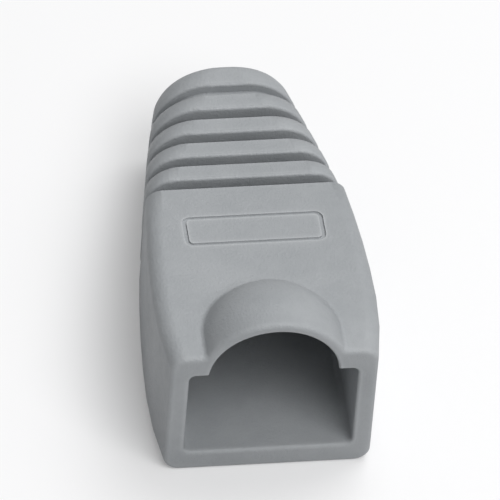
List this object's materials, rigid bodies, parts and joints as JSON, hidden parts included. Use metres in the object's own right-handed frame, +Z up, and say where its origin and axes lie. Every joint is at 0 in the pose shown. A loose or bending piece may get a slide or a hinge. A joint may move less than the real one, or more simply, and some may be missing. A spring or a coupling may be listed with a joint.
{
  "type": "strain relief boot",
  "caption": "Soft moulded boot that slides over a modular network plug, with a domed latch guard, a cable bore and slotted ribs that let it bend.",
  "frame": {"origin": "middle of the footprint, on the level underside that the boot lies on", "axes": "+Y along the boot from the plug opening to the cable bore, +Z up out of the latch bubble, +X to the right seen from the plug opening"},
  "size_m": [0.0156, 0.0294, 0.0146],
  "materials": {
    "soft_grey": "matte moulded soft plastic"
  },
  "bodies": {
    "root": {"strain_relief_boot": "soft_grey"}
  },
  "joints": []
}
